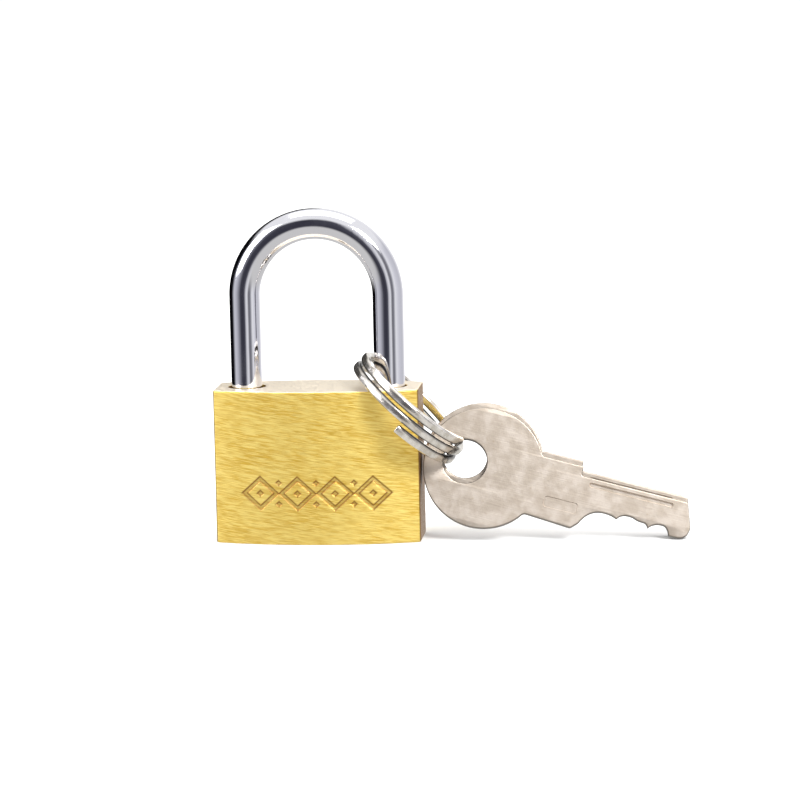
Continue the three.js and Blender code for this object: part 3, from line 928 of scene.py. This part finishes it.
@dataclass
class Shackle(Part):
    """The bent chromed wire, with its turned-down heel and the latch notch in its toe."""

    node: str = "shackle"
    body: str = "shackle"
    finish: Finish = CHROME
    slot: Slot = Slot.CHROME
    wire: float = 4.5
    spacing: float = 21.0
    arch: float = 13.3
    toe_depth: float = 6.0
    heel_depth: float = 13.75
    neck_top: float = 3.8
    neck: float = 3.0
    collar: float = 4.4
    collar_length: float = 1.55
    chamfers: tuple[float, float, float] = (0.25, 0.15, 0.4)  # the heel's end, collar and shoulder
    toe_round: float = 0.7
    notch_tip: float = 0.9
    notch_heights: tuple[float, float] = (-2.717, -2.167)
    notch_slope: float = 2.9168
    around: int = 112

    def _profile(self) -> np.ndarray:
        """Returns (distance along the wire, radius) rows from the heel's end to the toe's end."""
        collar, neck, wire = self.collar / 2, self.neck / 2, self.wire / 2
        neck_end = self.heel_depth - self.neck_top
        lead, back, shoulder = self.chamfers
        corners = np.array([
            [0, collar - lead], [lead, collar], [self.collar_length - back, collar],
            [self.collar_length, collar - back], [self.collar_length, neck],
            [neck_end, neck], [neck_end, wire - shoulder], [neck_end + shoulder, wire],
        ])
        heel_top = self.heel_depth + self.arch
        bend = math.pi * self.spacing / 2
        toe = self.arch + self.toe_depth
        total = heel_top + bend + toe
        along = np.concatenate([
            np.linspace(neck_end + 1, heel_top, 24, endpoint=False),
            np.linspace(heel_top, heel_top + bend, 190, endpoint=False),
            np.linspace(heel_top + bend, total - self.toe_depth, 24, endpoint=False),
            np.linspace(total - self.toe_depth, total - self.toe_round, 84, endpoint=False),
        ])
        turn = np.linspace(0, RIGHT_ANGLE, 7)
        short, thin = self.toe_round * (1 - np.sin(turn)), self.toe_round * (1 - np.cos(turn))
        end = np.stack([total - short, wire - thin], 1)
        return np.concatenate([corners, np.stack([along, np.full(len(along), wire)], 1), end])

    def _centres(self, along: np.ndarray) -> tuple[np.ndarray, np.ndarray]:
        """Returns the wire's centreline and its outward direction, for distances along it.

        The line goes straight up the heel leg, round a half circle, and straight down the toe leg.
        """
        half = self.spacing / 2
        heel_top = self.heel_depth + self.arch
        angle = np.clip((along - heel_top) / half, 0, math.pi)
        outward = np.stack([np.cos(angle), np.zeros_like(angle), np.sin(angle)], 1)
        centre = outward * half + np.array([0, 0, self.arch])
        past = np.maximum(along - heel_top - math.pi * half, 0)
        short = np.maximum(heel_top - along, 0)
        centre[:, 2] -= past + short
        return centre, outward

    def build(self) -> bpy.types.Object:
        """Makes the wire: a circle of changing radius carried along the bent line.

        The latch notch is where the toe leg's points are held back to the notch's own line.
        """
        profile = self._profile()
        centre, outward = self._centres(profile[:, 0])
        angle = np.linspace(0, FULL_TURN, self.around, endpoint=False)
        radial = outward[:, None] * np.cos(angle)[None, :, None]
        radial = radial + np.array([0, 1, 0]) * np.sin(angle)[None, :, None]
        tube = centre[:, None] + radial * profile[:, 1, None, None]
        low, high = self.notch_heights
        tip = -self.spacing / 2 + self.wire / 2 - self.notch_tip
        z = tube[..., 2]
        limit = tip + np.maximum(z - high, 0) + np.maximum(low - z, 0) / self.notch_slope
        toe = (profile[:, 0, None] > profile[-1, 0] - self.toe_depth - 1) & (z < 0)
        tube[..., 0] = np.where(toe, np.minimum(tube[..., 0], limit), tube[..., 0])
        draft = Draft()
        draft.grid(tube, wrap=True)
        draft.cap(tube[0])
        draft.cap(tube[-1])
        return draft.build("shackle_wire")


# ---- Plug, caps and pins --------------------------------------------------------------------


@dataclass
class Plug(Part):
    """The turned brass plug, whose slot for the key shows in the body's base."""

    node: str = "cylinder_plug"
    body: str = "plug"
    finish: Finish = TURNED_BRASS
    slot: Slot = Slot.TURNED
    radius: float = 3.8
    base: float = -22.5
    slot_top: float = -8.6
    top: float = -5.3
    slot_half: float = 1.1
    slot_inner: float = -1.7
    edge: float = 0.12
    groove: tuple[float, float, float] = (-8.05, -6.35, 3.0)  # its two heights and its radius
    stud: tuple[float, float, float, float] = (-1.1314, -1.1314, 0.55, 2.1)  # place, radius, reach

    def build(self) -> bpy.types.Object:
        """Makes the slotted length as a C-shaped outline carried up, and the rest on the lathe."""
        draft = Draft()
        mouth = math.asin(self.slot_half / self.radius)
        lip = self.radius * math.cos(mouth)
        gap = 0.12
        shell = arc((0, 0), self.radius, mouth + gap, FULL_TURN - mouth - gap, 120)
        slot = np.array([
            [lip, -self.slot_half], [self.slot_inner, -self.slot_half],
            [self.slot_inner, self.slot_half], [lip, self.slot_half],
        ])
        line = rounded(np.concatenate([shell[-1:], slot, shell[:1]]), 0.3, 4, closed=False)
        outline = spread(np.concatenate([shell, line[1:-1]]), 0.4)
        extrude(draft, outline, (), (self.base, self.slot_top), self.edge)
        low, high, core = self.groove
        draft.turned(np.array([
            [self.slot_top, self.radius], [low, self.radius], [low, core], [high, core],
            [high, self.radius], [self.top - self.edge, self.radius], [self.top, self.radius - self.edge],
        ]), count=96)
        x, y, radius, reach = self.stud
        draft.turned(rod_profile(self.top - 0.4, self.top + reach, radius, 0.1), (x, y), 32)
        return draft.build("plug_turned")


@dataclass(frozen=True)
class Rod(Part):
    """A short turned pin, or the cap that closes a drilling."""

    name: str
    node: str
    body: str
    axes: Axes
    span: tuple[float, float]
    radius: float
    edge: float
    finish: Finish
    slot: Slot

    def build(self) -> bpy.types.Object:
        """Makes the rod: a profile with rounded rims turned round its axis."""
        draft = Draft(self.axes)
        draft.turned(rod_profile(*self.span, self.radius, self.edge), count=48)
        return draft.build(self.name)


@dataclass
class SmallParts:
    """The pins and caps that close or cross the body's drillings."""

    heights: tuple[float, ...] = (-19.5, -16.7, -13.9, -11.1)
    key_lengths: tuple[float, ...] = (1.5, 2.1, 1.8, 2.4)
    shear: float = -3.8
    gap: float = 0.1
    driver: float = 3.0
    pin_radius: float = 1.03
    end: float = -15.0
    cap: float = 1.6
    edge: float = 0.08
    heel_pin: tuple[float, float, float, float] = (12.9, -4.7, -2.25, 0.75)
    plug_pin: tuple[float, float, float, float] = (3.9, -7.2, -3.5, 0.7)
    back: tuple[float, float] = (4.4, 5.95)  # where the heel pin's and the plug pin's ends stop

    def rods(self) -> list[Rod]:
        """Lists every pin and cap, with the CAD node that it stands for."""
        inner = self.shear - self.gap
        listed = [
            Rod("latch_drilling_cap", "latch_bore_cap", "housing", Axes.along_x(0, 0, -3.0),
                (self.end, self.end + self.cap), 2.05, self.edge, TURNED_BRASS, Slot.TURNED),
        ]
        for number, (z, length) in enumerate(zip(self.heights, self.key_lengths), 1):
            axes = Axes.along_x(0, 0, z)
            start = self.shear + self.gap
            listed += [
                Rod(f"chamber_plug_{number}", f"chamber_cap_{number}", "housing", axes,
                    (self.end, self.end + self.cap), 1.05, self.edge, TURNED_BRASS, Slot.TURNED),
                Rod(f"driver_{number}", f"driver_pin_{number}", f"driver_pin_{number}", axes,
                    (inner - self.driver, inner), self.pin_radius, 0.2, TURNED_BRASS, Slot.TURNED),
                Rod(f"tumbler_{number}", f"key_pin_{number}", f"key_pin_{number}", axes,
                    (start, start + length), self.pin_radius, 0.3, TURNED_BRASS, Slot.TURNED),
            ]
        for name, node, (x, z, start, radius), stop in (
            ("heel_cross_pin", "heel_pin", self.heel_pin, self.back[0]),
            ("plug_cross_pin", "plug_pin", self.plug_pin, self.back[1]),
        ):
            listed.append(Rod(name, node, "housing", Axes.along_y(x, 0, z), (start, stop), radius,
                              0.12, STEEL, Slot.STEEL))
        return listed


# ---- Ring -----------------------------------------------------------------------------------


@dataclass
class SplitRing(Part):
    """The split ring: a flattened wire wound a little over two turns."""

    node: str = "key_ring"
    body: str = "ring"
    finish: Finish = RING_NICKEL
    slot: Slot = Slot.RING
    diameter: float = 20.1
    radial: float = 1.1
    axial: float = 1.35
    pitch: float = 1.75
    start: float = -88.0
    end: float = 695.0
    slope: float = 43.0
    centre: tuple[float, float, float] = (13.5, 0.0, -2.95)
    squareness: float = 2.7
    around: int = 44
    steps: int = 520
    end_round: float = 0.16
    contact_shade: float = 0.95  # painted shade on the wires where they face each other

    def build(self) -> bpy.types.Object:
        """Makes the ring: a squarish oval section carried along a flat helix.

        A point of the section is (|cos a|, |sin a|) to the power 2 / squareness, with their signs,
        times half the wire's two sizes. At each cut end it shrinks slightly over a short length.
        The sides that face a neighbouring wire are given painted shade.
        """
        slope = math.radians(self.slope)
        along = np.array([math.cos(slope), 0, -math.sin(slope)])
        axis = np.array([math.sin(slope), 0, math.cos(slope)])
        radius = (self.diameter - self.radial) / 2
        short = math.degrees(self.end_round / radius)
        tips = np.linspace(0, 1, 5)[:-1] * short
        degrees = np.concatenate([
            self.start + tips, np.linspace(self.start + short, self.end - short, self.steps),
            self.end - tips[::-1],
        ])
        angle = np.radians(degrees)
        outward = np.cos(angle)[:, None] * along + np.sin(angle)[:, None] * np.array([0, 1, 0])
        lift = self.pitch * (degrees / 360 - 1)
        centre = np.array(self.centre) + radius * outward + lift[:, None] * axis
        turn = np.linspace(0, FULL_TURN, self.around, endpoint=False)
        power = 2 / self.squareness
        across = np.sign(np.cos(turn)) * np.abs(np.cos(turn)) ** power * self.radial / 2
        up = np.sign(np.sin(turn)) * np.abs(np.sin(turn)) ** power * self.axial / 2
        from_end = np.minimum(degrees - self.start, self.end - degrees) / short
        lost = 1 - np.sqrt(1 - (1 - np.clip(from_end, 0, 1)) ** 2)
        scale = (1 - lost * self.end_round / (self.radial / 2))[:, None, None]
        # painted shade on the sides that face a neighbouring wire
        facing = smoothstep(np.abs(up) / (self.axial / 2), 0.4, 0.95)
        above, below = degrees < self.end - 360, degrees > self.start + 360
        mark = self.contact_shade * facing * np.where(up > 0, above[:, None], below[:, None])
        section = across[None, :, None] * outward[:, None] + up[None, :, None] * axis
        wire = centre[:, None] + section * scale
        draft = Draft()
        draft.grid(wire, wrap=True, mark=mark)
        draft.cap(wire[0])
        draft.cap(wire[-1])
        return draft.build("split_ring")


# ---- Keys -----------------------------------------------------------------------------------


@dataclass
class Key(Part):
    """A flat key: round bow with a hole near its edge, stepped collar and a cut blade.

    Its own X runs along the key from the hole's centre to the tip, Y is up across it, and Z is
    out of its front face.
    """

    name: str
    node: str
    body: str
    hole_centre: tuple[float, float, float]
    finish: Finish = KEY_NICKEL
    slot: Slot = Slot.KEYS
    bow: float = 17.6
    hole: float = 6.4
    hole_offset: float = 2.85
    thickness: float = 1.8
    slope: float = 14.5
    lean: float = 16.0
    bow_drop: float = 0.3
    collar_end: float = 14.1
    collar_top: float = 3.5
    blade_top: float = 2.1
    length: float = 31.2
    collar_foot: float = 15.3
    collar_bottom: float = 5.7
    foot_corner: float = 1.0
    cuts: tuple[tuple[float, float, float], ...] = (
        (20.5, 2.4, 2.8), (23.0, 1.97, 2.1), (25.2, 2.35, 2.96), (28.4, 2.05, 3.33),
    )  # where each cut ends, its depth, and the ridge after it
    cut_shape: tuple[float, float, float] = (0.2, 0.62, 0.85)  # shares of a cut: down, level, up
    tip_nose: float = 1.9
    tip_slope: float = 1.2
    foot_rise: float = 0.4  # of the collar's lower edge where it meets the bow
    bow_gap: float = 0.09  # radians; the bow stops short of its corners for their fillets
    fillets_under: tuple[float, ...] = (0.1, 0.7, 0.3, 0.1)
    fillets_over: tuple[float, ...] = (0.1, 0.35, 0.3, 0.25, 0.7, 0.1)
    groove_span: tuple[float, float] = (15.5, 28.0)  # from the bow's centre
    groove_depth: float = 0.35
    groove_corner: float = 0.3
    front_groove: tuple[float, float] = (0.75, 1.45)
    rear_groove: tuple[float, float] = (-0.9, 0.0)
    relief: tuple[float, float, float, float] = (9.6, -3.6, 14.6, -2.0)  # its two opposite corners
    relief_depth: float = 0.14
    relief_corner: float = 0.5
    edge: float = 0.18

    def axes(self) -> Axes:
        """Returns the key's own axes: the blade slopes down and the upper edge leans back."""
        down, lean = math.radians(self.slope), math.radians(self.lean)
        along = np.array([math.cos(down), 0, -math.sin(down)])
        rise = np.array([math.sin(down), 0, math.cos(down)])
        up = rise * math.cos(lean) + np.array([0, math.sin(lean), 0])
        return Axes(self.hole_centre, tuple(along), tuple(up), tuple(np.cross(along, up)))

    def _blade(self) -> np.ndarray:
        """Returns the line along the cuts, from the collar's foot to the tip's lower corner."""
        at = np.array([self.collar_foot, -self.collar_bottom + self.foot_corner])
        line = [at[None]]
        for end, depth, ridge in self.cuts:
            down, flat, up = (np.array([at[0] + share * (end - at[0]), -depth]) for share in self.cut_shape)
            line.append(bezier(at, down, flat, 10))
            line.append(bezier(flat, up, (end, -ridge), 8))
            at = np.array([end, -ridge])
        nose = np.array([self.length - self.tip_nose, at[1]])
        line.append(nose[None])
        line.append(bezier(nose, (self.length, nose[1]), (self.length, nose[1] + self.tip_nose), 10))
        return np.concatenate(line)

    def outline(self) -> np.ndarray:
        """Returns the key's outline, counterclockwise, with small fillets at the collar."""
        radius, drop = self.bow / 2, self.bow_drop
        neck = math.asin((self.collar_top + drop) / radius)
        foot_height = -self.collar_bottom + self.foot_rise
        foot = math.asin((-foot_height - drop) / radius)
        bow = arc((0, -drop), radius, neck + self.bow_gap, FULL_TURN - foot - self.bow_gap, 150)
        under = rounded(np.array([
            bow[-1], [radius * math.cos(foot), foot_height],
            [self.collar_foot - self.foot_corner, -self.collar_bottom],
            [self.collar_foot, -self.collar_bottom + self.foot_corner],
        ]), self.fillets_under, 5, closed=False)
        over = rounded(np.array([
            self._blade()[-1], [self.length - self.tip_slope, self.blade_top],
            [self.collar_end, self.blade_top], [self.collar_end, self.collar_top],
            [radius * math.cos(neck), self.collar_top], bow[0],
        ]), self.fillets_over, 5, closed=False)
        loop = np.concatenate([bow[:-1], under[:-1], self._blade()[:-1], over[:-1]])
        return spread(loop + np.array([self.hole_offset, 0]), 0.5)

    def pockets(self) -> tuple[Pocket, ...]:
        """Lists the milled ones: a groove along each side of the blade, and the collar's relief."""
        start, end = (self.hole_offset + along for along in self.groove_span)
        grooves = ((self.front_groove, Side.FRONT), (self.rear_groove, Side.REAR))
        x0, y0, x1, y1 = self.relief
        relief = Pocket((self.hole_offset + x0, y0), (self.hole_offset + x1, y1),
                        self.relief_depth, self.relief_corner, Side.FRONT)
        milled = [
            Pocket((start, low), (end, high), self.groove_depth, self.groove_corner, side)
            for (low, high), side in grooves
        ]
        return (*milled, relief)

    def build(self) -> bpy.types.Object:
        """Makes the key as a plate with rounded rims, its hole and its milled pockets."""
        draft = Draft(self.axes())
        half = self.thickness / 2
        extrude(draft, self.outline(), [circle(self.hole / 2, 96)], (-half, half), self.edge, self.pockets())
        return draft.build(self.name)


# ---- Studio ---------------------------------------------------------------------------------


@dataclass(frozen=True)
class Softbox:
    """A square, soft studio light."""

    name: str
    place: tuple[float, float, float]  # metres
    aim: tuple[float, float, float]
    size: float
    watts: float

    def build(self) -> bpy.types.Object:
        """Makes the light and turns it to what it is aimed at."""
        data = bpy.data.lights.new(self.name, "AREA")
        data.size, data.energy = self.size, self.watts
        made = bpy.data.objects.new(self.name, data)
        made.location = self.place
        made.rotation_euler = (Vector(self.aim) - Vector(self.place)).to_track_quat("-Z", "Y").to_euler()
        bpy.context.scene.collection.objects.link(made)
        return made


@dataclass(frozen=True)
class Camera:
    """A long lens in front of the padlock, a little above it and to its right."""

    place: tuple[float, float, float] = (63.62, -502.08, 73.27)
    left: float = 5.876  # degrees
    down: float = 8.5
    roll: float = -1.2
    lens: float = 157.5
    sensor: float = 36.0

    def build(self) -> bpy.types.Object:
        """Makes the scene's camera from its three angles."""
        yaw, pitch, roll = (math.radians(a) for a in (self.left, self.down, self.roll))
        level_forward = np.array([-math.sin(yaw), math.cos(yaw), 0])
        forward = level_forward * math.cos(pitch) - np.array([0, 0, math.sin(pitch)])
        level_right = np.array([math.cos(yaw), math.sin(yaw), 0])
        level_up = np.cross(level_right, forward)
        right = math.cos(roll) * level_right + math.sin(roll) * level_up
        up = math.cos(roll) * level_up - math.sin(roll) * level_right
        data = bpy.data.cameras.new("studio_camera")
        data.lens, data.sensor_width, data.clip_start, data.clip_end = self.lens, self.sensor, 0.02, 30
        made = bpy.data.objects.new("studio_camera", data)
        turn = Matrix(np.column_stack([right, up, -forward]).tolist()).to_4x4()
        made.matrix_world = Matrix.Translation(Vector(self.place) * MM) @ turn
        bpy.context.scene.collection.objects.link(made)
        bpy.context.scene.camera = made
        return made


@dataclass
class Studio:
    """The pale floor, the room that the metals mirror, and the lights."""

    floor_height: float = -22.5
    floor_size: float = 8.0  # metres
    floor_colour: str = "#F4F4F4"
    room: tuple[tuple[float, str], ...] = (
        (-180, "#FFFFFF"), (-176, "#FFFFFF"), (-170, "#0A0A0E"), (-100, "#08080C"), (-90, "#8A8A90"),
        (-78, "#D8D8DE"), (-58, "#C4C4CC"), (-40, "#909098"), (-26, "#44444E"), (-10, "#3A3A44"),
        (4, "#50505A"), (12, "#C8C8CC"), (24, "#F4F4F6"), (36, "#74747A"), (48, "#8A8A90"),
        (62, "#F6F6F8"), (92, "#DADAE0"), (125, "#D0D0D6"), (150, "#FFFFFF"), (180, "#FFFFFF"),
    )  # brightness by direction, in degrees to the right of the front
    ceiling: str = "#FFFFFF"
    ground: str = "#DAD9D6"
    ceiling_from: tuple[float, float] = (28, 44)  # degrees above the horizon
    ground_from: tuple[float, float] = (-9, -24)
    backdrop: float = 1.12  # what the room gives to everything but mirrors
    softboxes: tuple[Softbox, ...] = (
        Softbox("softbox_right", (0.5, -0.6, 0.6), (0.0, 0.0, -0.01), 0.3, 9.0),
        Softbox("softbox_left", (-0.7, -0.35, 0.4), (0.0, 0.0, -0.01), 0.6, 4.0),
        Softbox("softbox_above", (0.0, 0.1, 1.0), (0.0, 0.0, 0.0), 0.9, 5.0),
    )

    def build(self) -> None:
        """Makes the floor, the room, the lights and the camera."""
        bpy.context.scene.view_settings.view_transform = "Standard"
        self._floor()
        self._room()
        for softbox in self.softboxes:
            softbox.build()
        Camera().build()

    def _floor(self) -> None:
        """Makes the floor, which the metals don't mirror: the room's own lower half stands for it."""
        half = self.floor_size / 2
        mesh = bpy.data.meshes.new("floor")
        corners = [(-half, -half), (half, -half), (half, half), (-half, half)]
        mesh.from_pydata([(x, y, self.floor_height * MM) for x, y in corners], [], [(0, 1, 2, 3)])
        floor = bpy.data.objects.new("floor", mesh)
        floor.visible_glossy = False
        bpy.context.scene.collection.objects.link(floor)
        material = bpy.data.materials.new("floor_paper")
        material.use_nodes = True
        tree = material.node_tree
        tree.nodes.clear()
        shader = add_node(tree, "ShaderNodeBsdfDiffuse", {"Color": linear(self.floor_colour)})
        add_node(tree, "ShaderNodeOutputMaterial", {"Surface": shader.outputs[0]})
        floor.data.materials.append(material)

    def _room(self) -> None:
        """Makes the world: white to the eye, and to a mirror a room of softboxes and dark gaps."""
        world = bpy.data.worlds.new("studio_room")
        world.use_nodes = True
        bpy.context.scene.world = world
        tree = world.node_tree
        tree.nodes.clear()
        direction = add_node(tree, "ShaderNodeTexCoord").outputs["Generated"]
        parts = add_node(tree, "ShaderNodeSeparateXYZ", {0: direction}).outputs
        ahead = add_node(tree, "ShaderNodeMath", {0: parts[1], 1: -1.0}, operation="MULTIPLY").outputs[0]
        angle = add_node(tree, "ShaderNodeMath", {0: parts[0], 1: ahead}, operation="ARCTAN2").outputs[0]
        place = add_node(tree, "ShaderNodeMapRange", {
            "Value": angle, "From Min": -math.pi, "From Max": math.pi,
        }).outputs[0]
        stops = [((degrees + 180) / 360, linear(colour)) for degrees, colour in self.room]
        walls = add_node(tree, "ShaderNodeValToRGB", {0: place}, stops).outputs[0]
        height = add_node(tree, "ShaderNodeMath", {0: parts[2]}, operation="ARCSINE").outputs[0]
        over, under = (
            remap(tree, height, (math.radians(start), math.radians(end)), (0, 1))
            for start, end in (self.ceiling_from, self.ground_from)
        )
        lit = mix(tree, over, walls, linear(self.ceiling))
        room = mix(tree, under, lit, linear(self.ground))
        seen = add_node(tree, "ShaderNodeLightPath").outputs["Is Glossy Ray"]
        shown = mix(tree, seen, (self.backdrop, self.backdrop, self.backdrop, 1), room)
        light = add_node(tree, "ShaderNodeBackground", {"Color": shown, "Strength": 1.0})
        add_node(tree, "ShaderNodeOutputWorld", {"Surface": light.outputs[0]})


# ---- Assembly -------------------------------------------------------------------------------


@dataclass
class HiddenParts:
    """The CAD nodes that stay as they are, all of them inside the body."""

    turned: tuple[str, ...] = ("latch",)
    springs: tuple[str, ...] = ("latch_spring", "shackle_spring", *(f"pin_spring_{n}" for n in range(1, 5)))

    def dress(self) -> None:
        """Gives each node its turned or drawn finish."""
        for names, finish, slot in (
            (self.turned, TURNED_BRASS, Slot.TURNED), (self.springs, STEEL, Slot.STEEL),
        ):
            for name in names:
                finish.dress(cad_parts[name], slot)
            log.info("kept inside: %s", ", ".join(names))


def main() -> None:
    """Builds the padlock piece by piece, then the studio."""
    logging.basicConfig(level=logging.INFO, format="%(message)s")
    keys = (
        Key("key_in_front", "key_front", "front_key", (21.3863, -1.0093, -11.1527)),
        Key("key_behind", "key_rear", "rear_key", (21.2775, 1.0093, -10.7213)),
    )
    for part in (LockBody(), Shackle(), Plug(), SplitRing(), *keys, *SmallParts().rods()):
        part.add()
    HiddenParts().dress()
    Studio().build()


if __name__ == "__main__":
    main()
